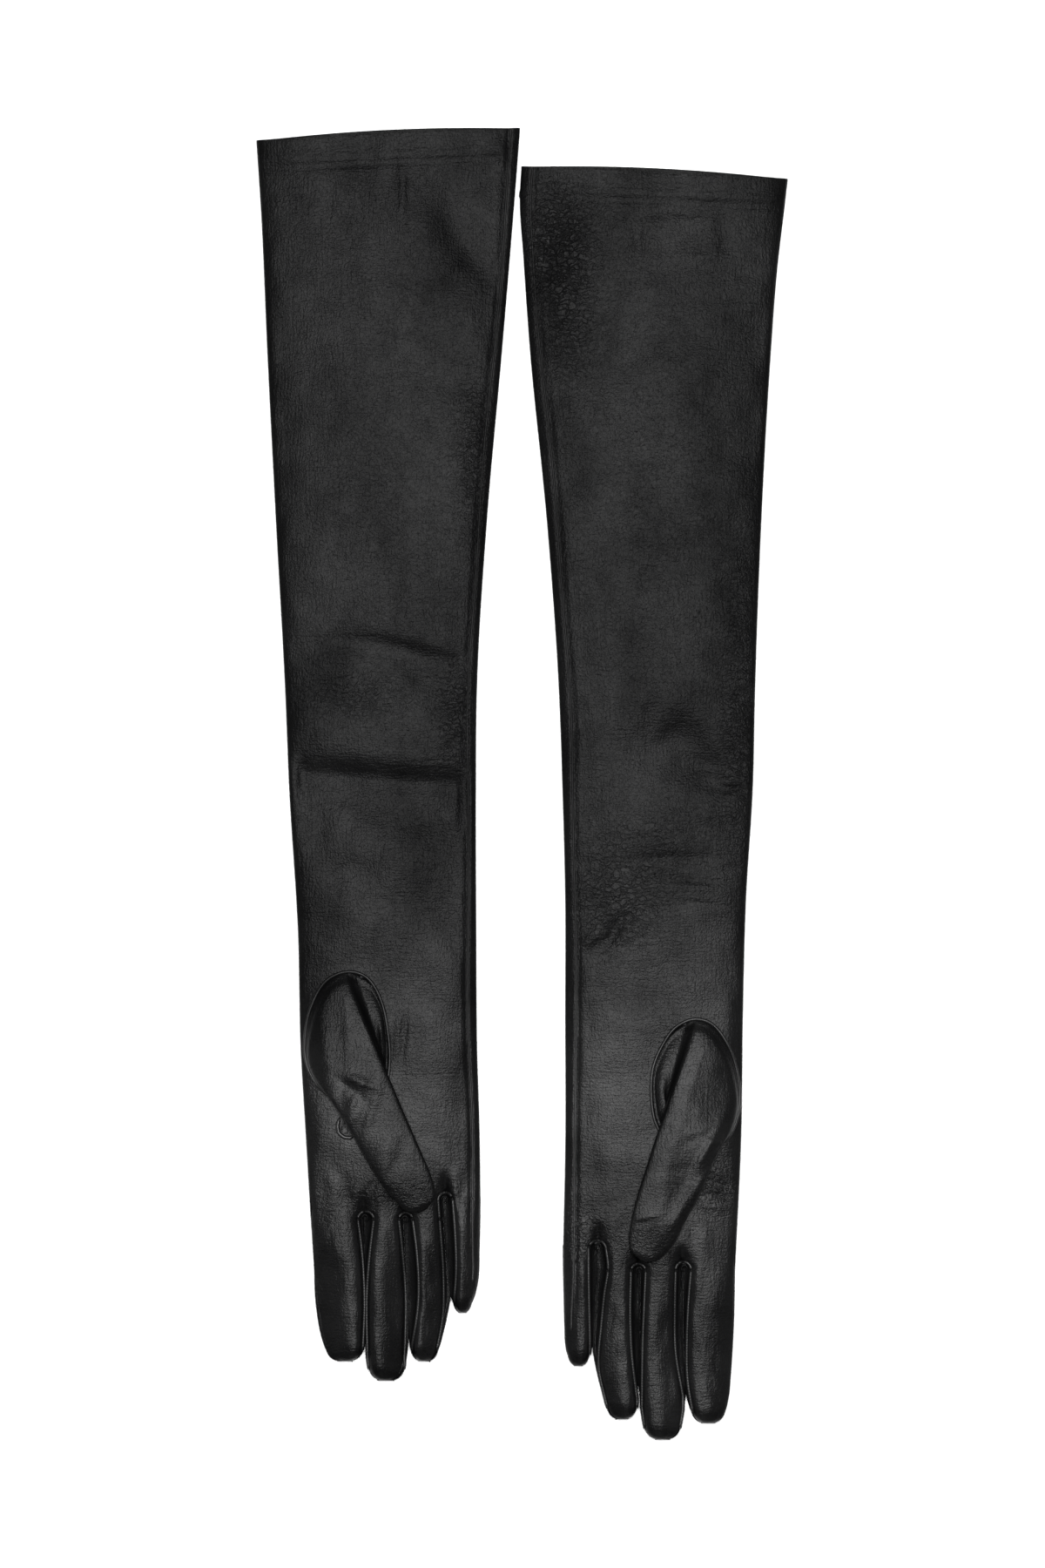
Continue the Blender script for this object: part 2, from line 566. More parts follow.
# %% Small helpers for node trees
def node(tree, kind, **settings):
    """Add a node and set its properties."""
    made_node = tree.nodes.new(kind)
    for key, value in settings.items():
        setattr(made_node, key, value)
    return made_node


def math_node(tree, operation, a, b=None, clamp=False):
    """A Math node whose inputs are sockets or plain numbers."""
    done = node(tree, "ShaderNodeMath", operation=operation, use_clamp=clamp)
    for socket, value in zip(done.inputs, (a, b)):
        if value is None:
            continue
        if isinstance(value, (int, float)):
            socket.default_value = value
        else:
            tree.links.new(value, socket)
    return done.outputs[0]


def stretched_noise(tree, coords, scale, detail=3.0, rough=0.55):
    """Noise with its own scale along X, Y and Z."""
    mapping = node(tree, "ShaderNodeMapping")
    mapping.inputs["Scale"].default_value = scale
    tree.links.new(coords, mapping.inputs["Vector"])
    noise = node(tree, "ShaderNodeTexNoise")
    noise.inputs["Scale"].default_value = 1
    noise.inputs["Detail"].default_value = detail
    noise.inputs["Roughness"].default_value = rough
    tree.links.new(mapping.outputs[0], noise.inputs["Vector"])
    return noise.outputs["Fac"]


def pushed(tree, coords, start, scale, amount, detail):
    """Coordinates `start` pushed about by noise on `coords`, so that lines wander."""
    push = node(tree, "ShaderNodeTexNoise")
    push.inputs["Scale"].default_value = scale
    push.inputs["Detail"].default_value = detail
    tree.links.new(coords, push.inputs["Vector"])
    shift = node(tree, "ShaderNodeVectorMath", operation="SCALE")
    shift.inputs["Scale"].default_value = amount
    tree.links.new(push.outputs["Color"], shift.inputs[0])
    moved = node(tree, "ShaderNodeVectorMath", operation="ADD")
    tree.links.new(start, moved.inputs[0])
    tree.links.new(shift.outputs[0], moved.inputs[1])
    return moved.outputs[0]


def cells(tree, coords, feature, scale):
    """Distance output of a Voronoi texture."""
    texture = node(tree, "ShaderNodeTexVoronoi", feature=feature)
    texture.inputs["Scale"].default_value = scale
    tree.links.new(coords, texture.inputs["Vector"])
    return texture.outputs["Distance"]


print("node helpers are ready")

# %% The grain group
def grain_lines(tree, wandering, strength):
    """Hairlines along and across the glove, with a faint net."""
    along = stretched_noise(tree, wandering, (900, 100, 480))
    across = stretched_noise(tree, wandering, (115, 980, 480))
    net = cells(tree, wandering, "DISTANCE_TO_EDGE", 420)
    net_line = math_node(tree, "MULTIPLY", math_node(tree, "MINIMUM", net, 0.09), 7)
    along, across = math_node(tree, "MULTIPLY", along, 1.1), math_node(tree, "MULTIPLY", across, 1.0)
    lines = math_node(tree, "ADD", along, across)
    lines = math_node(tree, "ADD", lines, math_node(tree, "MULTIPLY", net_line, 0.3))
    return math_node(tree, "MULTIPLY", lines, strength)


def worn_creases(tree, coords, wandering):
    """Long flat cells, only where the leather is worn."""
    tangled = pushed(tree, coords, wandering, 330, 0.006, 3)
    stretch = node(tree, "ShaderNodeMapping")
    stretch.inputs["Scale"].default_value = (210, 430, 320)
    tree.links.new(tangled, stretch.inputs["Vector"])
    crease = cells(tree, stretch.outputs[0], "DISTANCE_TO_EDGE", 1)
    groove = math_node(tree, "MULTIPLY", math_node(tree, "MINIMUM", crease, 0.2), 7.5)
    where = node(tree, "ShaderNodeAttribute", attribute_name="worn").outputs["Fac"]
    return math_node(tree, "MULTIPLY", groove, where)


def handled_mask(tree, coords):
    """0 on the sleeve, 1 on the hand."""
    split = node(tree, "ShaderNodeSeparateXYZ")
    tree.links.new(coords, split.inputs[0])
    handled = node(tree, "ShaderNodeMapRange", interpolation_type="SMOOTHSTEP")
    for name, value in (("From Min", -0.02), ("From Max", -0.19), ("To Min", 0), ("To Max", 1)):
        handled.inputs[name].default_value = value
    tree.links.new(split.outputs["Y"], handled.inputs["Value"])
    return handled.outputs[0]


def make_grain():
    """The grain that all the leather shares. Lines and Pebble set how strong each part is."""
    tree = bpy.data.node_groups.new("nappa grain", "ShaderNodeTree")
    for name in ("Lines", "Pebble"):
        socket = tree.interface.new_socket(name, in_out="INPUT", socket_type="NodeSocketFloat")
        socket.default_value = 1
    for name in ("Height", "Mottle", "Handled"):
        tree.interface.new_socket(name, in_out="OUTPUT", socket_type="NodeSocketFloat")
    inside, out = node(tree, "NodeGroupInput"), node(tree, "NodeGroupOutput")
    coords = node(tree, "ShaderNodeTexCoord").outputs["Object"]
    wandering = pushed(tree, coords, coords, 90, 0.004, 2)
    lines = grain_lines(tree, wandering, inside.outputs["Lines"])
    pebble = math_node(tree, "MULTIPLY", cells(tree, wandering, "F1", 1000), -0.5)
    pebble = math_node(tree, "MULTIPLY", pebble, inside.outputs["Pebble"])
    pebble = math_node(tree, "ADD", pebble, worn_creases(tree, coords, wandering))
    tree.links.new(math_node(tree, "ADD", lines, pebble), out.inputs["Height"])
    tree.links.new(stretched_noise(tree, coords, (26, 17, 30), 4), out.inputs["Mottle"])
    tree.links.new(handled_mask(tree, coords), out.inputs["Handled"])
    return tree


GRAIN = make_grain()
print("grain group:", len(GRAIN.nodes), "nodes")

# %% Leather materials
def leather(name, colour, rough, shine, lines=1.0, pebble=1.0, depth=0.0003):
    """rough and shine are pairs: on the sleeve, and on the hand."""
    material = bpy.data.materials.new(name)
    material.use_nodes = True
    tree = material.node_tree
    shader = tree.nodes["Principled BSDF"]
    grain = node(tree, "ShaderNodeGroup", node_tree=GRAIN)
    grain.inputs["Lines"].default_value = lines
    grain.inputs["Pebble"].default_value = pebble
    ramp = node(tree, "ShaderNodeMixRGB")
    ramp.inputs[1].default_value = [c * 0.62 for c in colour] + [1]
    ramp.inputs[2].default_value = [c * 1.38 for c in colour] + [1]
    tree.links.new(grain.outputs["Mottle"], ramp.inputs[0])
    tree.links.new(ramp.outputs[0], shader.inputs["Base Color"])
    drop = math_node(tree, "MULTIPLY", grain.outputs["Handled"], rough[1] - rough[0])
    patchy = math_node(tree, "MULTIPLY", math_node(tree, "SUBTRACT", grain.outputs["Mottle"], 0.5), 0.16)
    roughness = math_node(tree, "ADD", math_node(tree, "ADD", drop, rough[0]), patchy, clamp=True)
    tree.links.new(roughness, shader.inputs["Roughness"])
    gloss = math_node(tree, "MULTIPLY", grain.outputs["Handled"], shine[1] - shine[0])
    gloss = math_node(tree, "ADD", gloss, shine[0])
    cloudy = math_node(tree, "ADD", math_node(tree, "MULTIPLY", grain.outputs["Mottle"], 2.6), -0.3)
    tree.links.new(math_node(tree, "MULTIPLY", gloss, cloudy), shader.inputs["Specular IOR Level"])
    bump_node = node(tree, "ShaderNodeBump")
    steamed = math_node(tree, "MULTIPLY", grain.outputs["Handled"], -0.15)
    tree.links.new(math_node(tree, "ADD", steamed, 0.6), bump_node.inputs["Strength"])
    bump_node.inputs["Distance"].default_value = depth
    tree.links.new(grain.outputs["Height"], bump_node.inputs["Height"])
    tree.links.new(bump_node.outputs[0], shader.inputs["Normal"])
    return material


NAPPA = leather("nappa", (0.0016, 0.0016, 0.0017), (0.36, 0.34), (0.046, 0.1))
SIDE_NAPPA = leather("side strip nappa", (0.002, 0.002, 0.0021), (0.5, 0.42), (0.05, 0.05), 0.6, 1.4)
SEAM_NAPPA = leather("seam nappa", (0.003, 0.003, 0.0031), (0.4, 0.38), (0.08, 0.24), 0.3, 0.6, 0.0002)
print("leathers:", NAPPA.name, SIDE_NAPPA.name, SEAM_NAPPA.name)

# %% [markdown]
# ## Lining and label
# The lining is a very fine knit. Wales and courses are two crossing waves, and a soft sheen stands
# for the silk.

# %% Knit and ribbon
WAVE_UNIT = 3.18  # waves that a Wave texture draws in one unit at a scale of 1


def cloth(name, colour, pitch, sheen):
    """Two crossing waves. pitch is the width of one stitch in millimetres."""
    material = bpy.data.materials.new(name)
    material.use_nodes = True
    tree = material.node_tree
    shader = tree.nodes["Principled BSDF"]
    coords = node(tree, "ShaderNodeTexCoord").outputs["Object"]
    waves = []
    for direction in ("X", "Y"):
        wave = node(tree, "ShaderNodeTexWave", bands_direction=direction)
        wave.inputs["Scale"].default_value = 1 / (pitch * MM) / WAVE_UNIT
        wave.inputs["Distortion"].default_value = 1.2
        wave.inputs["Detail Scale"].default_value = 2
        tree.links.new(coords, wave.inputs["Vector"])
        waves.append(wave.outputs["Fac"])
    height = math_node(tree, "MULTIPLY", waves[0], waves[1])
    tone = node(tree, "ShaderNodeMixRGB")
    tone.inputs[1].default_value = [c * 0.6 for c in colour] + [1]
    tone.inputs[2].default_value = [c * 1.3 for c in colour] + [1]
    tree.links.new(height, tone.inputs[0])
    tree.links.new(tone.outputs[0], shader.inputs["Base Color"])
    matt = math_node(tree, "ADD", math_node(tree, "MULTIPLY", height, -0.2), 0.85)
    tree.links.new(matt, shader.inputs["Roughness"])
    shader.inputs["Sheen Weight"].default_value = sheen
    bump_node = node(tree, "ShaderNodeBump")
    bump_node.inputs["Strength"].default_value = 0.6
    bump_node.inputs["Distance"].default_value = 0.0002
    tree.links.new(height, bump_node.inputs["Height"])
    tree.links.new(bump_node.outputs[0], shader.inputs["Normal"])
    return material


KNIT = cloth("silk knit", (0.016, 0.016, 0.018), 0.9, 0.25)
RIBBON = cloth("label ribbon", (0.05, 0.05, 0.052), 0.5, 0.1)
print("cloths:", KNIT.name, RIBBON.name)

# %% [markdown]
# ## Sleeves, forearms and palms
# The leather runs in one sweep from the cuff to the fingers, but each body can only carry its own
# piece.

# %% Columns round the tube
def columns_round(side, fine):
    """Shares of the width from seam to fold, with the divides between fingers among them."""
    d = DIVIDES[side]
    cuts = [(x - d[4]) / (d[0] - d[4]) for x in (d[4], d[3], d[2], d[1], d[0])]
    shares = [0.0]
    for k, (low, high) in enumerate(zip(cuts, cuts[1:])):
        t = np.linspace(0, 1, fine + 1)[1:]
        if k == 0:
            t = 1 - np.cos(t * math.pi / 2)
        elif k == 3:
            t = np.sin(t * math.pi / 2)
        shares.extend(low + (high - low) * t)
    return np.array(shares)


def body_points(side, ys, fine, draw=0.0, flare=True):
    """Points of the tube at each y, round from the seam over the palm side and back under."""
    shares = columns_round(side, fine)
    y = np.asarray(ys, float)[:, None]
    seam, fold = edges(side, y)
    seam, fold = seam + 1.5 * draw, fold - 1.5 * draw
    u = seam + (fold - seam) * shares[None, :]
    across = 2 * shares[None, :] - 1
    y_here = y - slant(side, y) * across / 2 + 0 * u
    top, low = hand_heights(side, np.clip(u, *edges(side, y)), y_here)
    top = top + relief(side, u, y_here) - draw
    low = np.minimum(low + draw, top - 0.2)
    over = np.stack([u, y_here, top], axis=2)
    cuff = GLOVES[side]["cuff"]
    lip = 2.6 * (1 - across**2) * step(y_here, cuff - 22, cuff) if flare else 0
    under = np.stack([u, y_here + lip, low], axis=2)
    edge_z = EDGE_SHARE * BODY_H
    over[:, 0, 2] = over[:, -1, 2] = edge_z
    return np.concatenate([over, under[:, -2::-1]], axis=1)


def in_hole(side, u, y, grow=0.0):
    """True inside the thumb's hole."""
    ring = hole_ring(side, 96)
    middle = ring.mean(axis=0)
    angle = np.arctan2(ring[:, 1] - middle[1], ring[:, 0] - middle[0])
    radius = np.hypot(*(ring - middle).T)
    order = np.argsort(angle)
    here = np.arctan2(y - middle[1], u - middle[0])
    limit = np.interp(here, angle[order], radius[order], period=2 * math.pi)
    return np.hypot(u - middle[0], y - middle[1]) < limit + grow


def hole_ring(side, count, start=0, stop=None):
    """Points round the thumb's hole, from one of its points to another, evenly spaced."""
    points = np.array(HOLE[side], float)
    n = len(points)
    stop = n if stop is None else stop
    t = np.linspace(start, stop, 16 * n)
    k = np.floor(t).astype(int)
    f = (t - k)[:, None]
    p0, p1, p2, p3 = (points[(k + o) % n] for o in (-1, 0, 1, 2))
    squared, cubed = 2 * p0 - 5 * p1 + 4 * p2 - p3, 3 * p1 - p0 - 3 * p2 + p3
    path = 0.5 * (2 * p1 + (p2 - p0) * f + squared * f**2 + cubed * f**3)
    length = np.concatenate([[0], np.cumsum(np.hypot(*np.diff(path, axis=0).T))])
    at = np.linspace(0, length[-1], count)
    return np.stack([np.interp(at, length, path[:, a]) for a in (0, 1)], axis=1)


def palm(side, u, y):
    """Height of the palm side, relief and all."""
    top, _ = hand_heights(side, np.asarray(u, float), np.asarray(y, float))
    return top + relief(side, u, y)


print("columns round a palm:", len(columns_round("right", 24)))

# %% Build the long pieces
BLEND = 16  # how far beyond a bend the leather turns


def at(side, u, y, z=0.0):
    """A layout point as metres in the frame."""
    return (sown(side, u) * MM, y * MM, z * MM)


def bend_at(side, other, start, end):
    middle = 70
    return (f"{side}_{other}", at(side, middle, start), at(side, middle, end))


def body_piece(name, side, y0, y1, pitch, fine, draw=0.0, flare=True):
    """The tube from y0 down to y1, with a row of faces every `pitch` millimetres."""
    rows = max(2, int(round((y0 - y1) / pitch)))
    points = body_points(side, np.linspace(y0, y1, rows + 1), fine, draw, flare)
    return grid(name, points.shape[1] - 1, rows, points)


for side in SIDES:
    glove = GLOVES[side]
    hand_end = min(glove["roots"])
    bends = {
        "upper_sleeve": bend_at(side, "forearm", glove["fold"], glove["fold"] + BLEND),
        "forearm": None,
        "hand": bend_at(side, "forearm", glove["wrist"], glove["wrist"] - BLEND),
    }
    spans = {
        "upper_sleeve": (glove["cuff"], glove["fold"], 1.9, "upper_lining"),
        "forearm": (glove["fold"], glove["wrist"], 1.4, "forearm_lining"),
        "hand": (glove["wrist"], hand_end, 0.8, "hand_lining"),
    }
    for part, (y0, y1, pitch, lining) in spans.items():
        skin = body_piece(f"{side}_{part}_leather", side, y0, y1, pitch, 24 if part == "hand" else 18)
        inner_y0 = y0 - HEM if part == "upper_sleeve" else y0
        inner = body_piece(f"{side}_{lining}_knit", side, inner_y0, y1, 5, 8, draw=1.3, flare=False)
        if part == "hand":
            little = glove["roots"][3]
            for obj, grow in ((skin, 0.0), (inner, 1.0)):
                drop_faces(obj, lambda u, y, z: (u < DIVIDES[side][3]) & (y < little))
                drop_faces(obj, lambda u, y, z: in_hole(side, u, y, grow) & (z > EDGE_SHARE * BODY_H))
        close(skin, side)
        close(inner, side)
        thicken(skin, LEATHER_T)
        if part == "upper_sleeve":
            inside = LEATHER_T + 0.15
            hem = body_piece(f"{side}_hem_turned_in", side, y0 - 0.4, y0 - HEM, 1.9, 18, draw=inside)
            thicken(close(hem, side), FINGER_T)
            finish_piece(hem, NAPPA, f"{side}_{part}", [f"{side}_hem_band"])
        finish_piece(skin, NAPPA, f"{side}_{part}", [f"{side}_{part}"], bends[part])
        finish_piece(inner, KNIT, f"{side}_{part}", [f"{side}_{lining}"], bends[part])
    print(side, "long pieces:", [len(o.data.polygons) for o in made[-7:]])

# %% [markdown]
# ## Seams
# A rolled seam is a thin rope of leather with the stitches pulling it in at regular steps. `rope`
# sweeps a small ring along a path, and the radius rises and falls with each stitch.

# %% Ropes
def rope(name, path, radius, stitch=0.0, sides=8, taper=True):
    """A thin rope along path, in millimetres. stitch is the length of one stitch, 0 for a plain rope."""
    path = np.asarray(path, float)
    length = np.concatenate([[0], np.cumsum(np.linalg.norm(np.diff(path, axis=0), axis=1))])
    pitch = stitch / 4 if stitch else 1.0
    rows = max(4, int(length[-1] / pitch))
    at_length = np.linspace(0, length[-1], rows + 1)
    path = np.stack([np.interp(at_length, length, path[:, a]) for a in range(3)], axis=1)
    tangent = np.gradient(path, axis=0)
    tangent /= np.linalg.norm(tangent, axis=1)[:, None]
    across = np.cross(tangent, (0, 0, 1.0))
    across /= np.maximum(np.linalg.norm(across, axis=1), 1e-6)[:, None]
    above = np.cross(across, tangent)
    size = np.full(rows + 1, float(radius))
    if stitch:
        size *= 0.95 + 0.07 * np.abs(np.sin(at_length / stitch * math.pi))
    if taper:
        ends = np.minimum(at_length, length[-1] - at_length)
        size *= 0.15 + 0.85 * step(ends, 0, 2.5 * radius)
    angle = np.linspace(0, 2 * math.pi, sides + 1)
    ring = np.cos(angle)[None, :, None] * across[:, None] + np.sin(angle)[None, :, None] * above[:, None]
    return grid(name, sides, rows, path[:, None] + ring * size[:, None, None])


def join(name, objs):
    """Join pieces into the first one."""
    only(objs[0])
    for obj in objs[1:]:
        obj.select_set(True)
    if len(objs) > 1:
        bpy.ops.object.join()
    objs[0].name = objs[0].data.name = name
    return objs[0]


print("ropes are ready")

# %% Outseams
OUTSEAM_R = 0.55
OUTSEAM_STITCH = 2.2
for side in SIDES:
    glove = GLOVES[side]
    spans = {
        "sleeve": ("upper_sleeve", glove["cuff"] - 1, glove["fold"]),
        "forearm": ("forearm", glove["fold"], glove["wrist"]),
        "hand": ("hand", glove["wrist"], glove["roots"][3]),
    }
    for part, (body, y0, y1) in spans.items():
        y = np.linspace(y0, y1, int(abs(y0 - y1) / 2) + 2)
        u = edges(side, y)[0] + OUTSEAM_IN[side] + 0.5 * np.sin(y / SEAM_WAVE)
        y_cut = y + slant(side, y) * 0.45
        path = np.stack([u, y_cut, palm(side, u, y_cut) + 0.05], axis=1)
        roll = rope(f"{side}_{part}_outseam_roll", path, OUTSEAM_R, stitch=OUTSEAM_STITCH, taper=False)
        seam = close(roll, side)
        sign = 1 if body == "upper_sleeve" else -1
        start = glove["fold"] if body == "upper_sleeve" else glove["wrist"]
        bend = None if body == "forearm" else bend_at(side, "forearm", start, start + sign * BLEND)
        node_name = f"{side}_{part}_outseam"
        finish_piece(seam, SEAM_NAPPA, f"{side}_{body}", [node_name], bend)
    print(side, "outseams:", [obj.name for obj in made[-3:]])

# %% [markdown]
# ## Fingers
# Each finger is one tube of even rows. Its side strips are cut out of the tube and become the
# fourchettes, so the two always meet, and a stitched rope covers each seam.

# %% Finger tubes
PANEL, STRIP, UNDER = 18, 7, 26  # columns of the palm panel, of each side strip, and of the underside
TIP_REST = 3.4  # height that the fingertips round off towards
FLAT_END = 0.16  # where a panel's last column starts on a side without a seam, as a share of the width


def tip_shape(y, tip):
    """Shares of width and height left at y in the rounding of a fingertip."""
    k = np.clip(1 - (y - tip) / TIP_ROUND, 0, 1)
    return np.maximum(0.4, (1 - k**2.5) ** (1 / 2.5)), np.maximum(0.1, (1 - k**2.3) ** (1 / 2.3))


def finger_points(side, f, draw=0.0):
    """Rows of the tube of finger f: side strip, palm panel, side strip, and back along the underside."""
    glove = GLOVES[side]
    root, tip = glove["roots"][f], glove["tips"][f] + draw
    straight = np.linspace(root, tip + TIP_ROUND, 62)
    rounding = tip + TIP_ROUND * (1 - np.sin(np.linspace(0, math.pi / 2, 19)[1:]))
    ys = np.concatenate([straight, rounding])[:, None]
    low, high = finger_band(side, f, ys)
    low, high = low + draw, high - draw
    low_lip, high_lip = lips(side, f, ys)
    low_lip = low + FLAT_END * (high - low) if low_lip is None else np.clip(low_lip, low + 0.3, None)
    high_lip = high - FLAT_END * (high - low) if high_lip is None else np.clip(high_lip, None, high - 0.3)
    t_strip = np.sin(np.linspace(0, math.pi / 2, STRIP + 1))[None, :]
    t_panel = np.linspace(0, 1, PANEL + 1)[None, :]
    u = np.concatenate([
        low + (low_lip - low) * (1 - np.cos(np.linspace(0, math.pi / 2, STRIP + 1)))[None, :],
        (low_lip + (high_lip - low_lip) * t_panel)[:, 1:],
        (high_lip + (high - high_lip) * t_strip)[:, 1:],
    ], axis=1)
    tall = finger_top(side, f, u, ys + 0 * u)
    inside = np.clip(u, low, high)
    hand_top = hand_heights(side, inside, np.full(u.shape, root))[0]
    lower = np.minimum(hand_top - finger_top(side, f, inside, np.full(u.shape, root)), 0)
    tall = tall + lower * (1 - step(root - ys, 0, 16))
    z_top = tall - draw + relief(side, u, ys) * (1 - step(root - ys, 0, 14 if f < 3 else 50))
    z_top = z_top + 0.1 * wander(u * 1.6, ys * 0.5, 9, 20 + f) * step(root - ys, 0, 12)
    z_top[:, 0] = z_top[:, -1] = EDGE_SHARE * FINGER_H
    turn = np.linspace(0, math.pi, UNDER + 1)[None, 1:]
    u_under = (low + high) / 2 + (high - low) / 2 * np.cos(turn)
    z_under = belly(np.cos(turn), draw, FINGER_H) + 0 * u_under
    width, height = tip_shape(ys, tip)
    middle = (low + high) / 2
    points = np.stack([
        np.concatenate([u, u_under], axis=1),
        np.broadcast_to(ys, (len(ys), u.shape[1] + UNDER)),
        np.concatenate([z_top, z_under], axis=1),
    ], axis=2).copy()
    points[..., 0] = middle + (points[..., 0] - middle) * width
    points[..., 2] = TIP_REST + (points[..., 2] - TIP_REST) * height
    return points


def finger_piece(name, side, f, keep, draw=0.0):
    """The tube of finger f with only the columns and rows that keep(column, row) marks."""
    points = finger_points(side, f, draw)
    rows, columns = points.shape[0] - 1, points.shape[1] - 1
    obj = grid(name, columns, rows, points)
    if keep:
        order = np.arange(len(obj.data.polygons))
        mark = ~keep(order % columns, order // columns)
        drop_faces(obj, lambda u, y, z: mark)
    return close(obj, side)


print("faces round a finger:", 2 * STRIP + PANEL + UNDER)

# %% Side strips and their seams
STRIP_ROWS = 66  # a fourchette ends just inside the tip's rounding


def strip_here(f, sign, column, row):
    """True on the side strip of finger f: sign -1 is the side towards the middle of the pair."""
    if (f == 3 and sign < 0) or (f == 0 and sign > 0):
        return np.zeros(np.shape(column), bool)
    under_quarter = UNDER // 5
    total = 2 * STRIP + PANEL + UNDER
    if sign < 0:
        here = (column < STRIP) | (column >= total - under_quarter)
    else:
        here = (column >= STRIP + PANEL) & (column < 2 * STRIP + PANEL + under_quarter)
    return here & (row < STRIP_ROWS)


STRIP_NODES = {
    (0, -1): "index_fourchette", (1, 1): "middle_outer_fourchette", (1, -1): "middle_inner_fourchette",
    (2, 1): "ring_outer_fourchette", (2, -1): "ring_inner_fourchette", (3, 1): "little_fourchette",
}


def lip_path(side, f, sign, sink=0.0, out=0.0):
    """Path of the seam along one side of finger f, from its root to its tip."""
    ys = np.linspace(GLOVES[side]["roots"][f], GLOVES[side]["tips"][f] + TIP_ROUND * 0.55, 60)
    low, high = finger_band(side, f, ys)
    low_lip, high_lip = lips(side, f, ys)
    u = np.clip(low_lip, low + 0.3, None) if sign < 0 else np.clip(high_lip, None, high - 0.3)
    z = finger_top(side, f, u - sign * 0.1, ys)
    width, height = tip_shape(ys, GLOVES[side]["tips"][f])
    middle = (low + high) / 2
    u, z = middle + (u + sign * out - middle) * width, TIP_REST + (z - sink - TIP_REST) * height
    return np.stack([u, ys, z], axis=1)


print("side strips:", sorted(STRIP_NODES.values()))

# %% Sew the fingers
LIP_R = 0.9
LIP_STITCH = 1.4
for side in SIDES:
    for f, finger in enumerate(FINGERS):
        root = GLOVES[side]["roots"][f]
        body = f"{side}_{finger}"
        bend = bend_at(side, "hand", root, root - BLEND)
        skin = finger_piece(f"{body}_finger_leather", side, f,
                            lambda c, r: ~strip_here(f, -1, c, r) & ~strip_here(f, 1, c, r))
        thicken(skin, FINGER_T)
        ropes = []
        for sign in (-1, 1):
            if (f, sign) not in STRIP_NODES:
                continue
            lip = rope(f"{body}_lip", lip_path(side, f, sign), LIP_R, stitch=LIP_STITCH)
            ropes.append(close(lip, side))
            strip = finger_piece(f"{body}_strip", side, f, lambda c, r: strip_here(f, sign, c, r))
            thicken(strip, FINGER_T)
            edge = close(rope(f"{body}_edge", lip_path(side, f, sign, 0.9, 0.75), 0.32, stitch=1.5), side)
            side_name = STRIP_NODES[(f, sign)]
            strip = join(f"{side}_{side_name}_strip", [strip, edge])
            finish_piece(strip, SIDE_NAPPA, body, [f"{side}_{side_name}"], bend)
        finish_piece(skin, NAPPA, body, [f"{body}_finger"], bend)
        if f == 3:
            # the outseam runs on down the little finger
            y = np.linspace(root - 0.2, root - 44, 24)
            inwards = OUTSEAM_IN[side] * (1 - 0.35 * step(root - y, 0, 44))
            u = finger_band(side, f, y)[0] + inwards + 0.5 * np.sin(y / SEAM_WAVE)
            z = finger_top(side, f, u, y) + relief(side, u, y) * (1 - step(root - y, 0, 50)) + 0.05
            path = np.stack([u, y, z], axis=1)
            roll = rope(f"{body}_outseam_roll", path, OUTSEAM_R, stitch=OUTSEAM_STITCH)
            ropes.append(close(roll, side))
        finish_piece(join(f"{body}_lips", ropes), SEAM_NAPPA, body, [], bend)
        inner = finger_piece(f"{body}_finger_knit", side, f, None, draw=1.2)
        finish_piece(inner, KNIT, body, [f"{body}_lining"], bend)
    print(side, "fingers done,", len(made), "pieces so far")

# %% [markdown]
# ## Arched seams of the forks, and the quirks
# On the palm each fork ends in a round arch. A small gusset, the quirk, is tucked into it and curls
# at its end.

# %% Forks
def fork_path(side, fork):
    """The arched seam from the root of one finger over the fork to the root of the next."""
    middle, half, top = fork_arch(side, fork)
    high_root, low_root = GLOVES[side]["roots"][fork], GLOVES[side]["roots"][fork + 1]
    turn = np.linspace(0, math.pi, 25)
    arch = np.stack([middle + half * np.cos(turn), top - half + half * np.sin(turn)], axis=1)
    keep = arch[:, 1] >= np.where(arch[:, 0] > middle, high_root, low_root)
    parts = [arch[keep]]
    if high_root < top - half - 0.5:
        y = np.linspace(high_root, top - half - 0.4, 9)
        parts.insert(0, np.stack([lips(side, fork, y)[0], y], axis=1))
    if low_root < top - half - 0.5:
        y = np.linspace(top - half - 0.4, low_root, 9)
        parts.append(np.stack([lips(side, fork + 1, y)[1], y], axis=1))
    path = np.concatenate(parts)
    away = np.where(path[:, 0] > middle, 0.3, -0.3)
    return np.column_stack([path, palm(side, path[:, 0] + away, path[:, 1]) - 0.1])


for side in SIDES:
    arches, curls = [], []
    for fork in range(3):
        arch = rope("arch", fork_path(side, fork), LIP_R, stitch=LIP_STITCH, taper=False)
        arches.append(close(arch, side))
        middle, half, top = fork_arch(side, fork)
        curl = np.linspace(0, 5.2, 22)
        size = 1.9 - 0.2 * curl
        u, y = middle + 0.3 + size * np.cos(curl), top - 3.8 + 1.3 * size * np.sin(curl)
        path = np.stack([u, y, 7.2 - 0.25 * curl], axis=1)
        curls.append(close(rope("curl", path, 0.6), side))
    seams = join(f"{side}_fork_arches", arches)
    finish_piece(seams, SEAM_NAPPA, f"{side}_hand", [])
    quirk = join(f"{side}_quirk_curls", curls)
    finish_piece(quirk, SIDE_NAPPA, f"{side}_hand", [f"{side}_quirks"])
    print(side, "forks:", seams.name, quirk.name)

# %% [markdown]
# ## Thumbs
# A thumb is set into an oval hole and folded over the palm. Its skin is one sheet that starts at
# the hole, rises, folds sharply on the inner side and comes back underneath. Each ring round it
# therefore runs from the hole's outer side over the top to the fold, and back below.

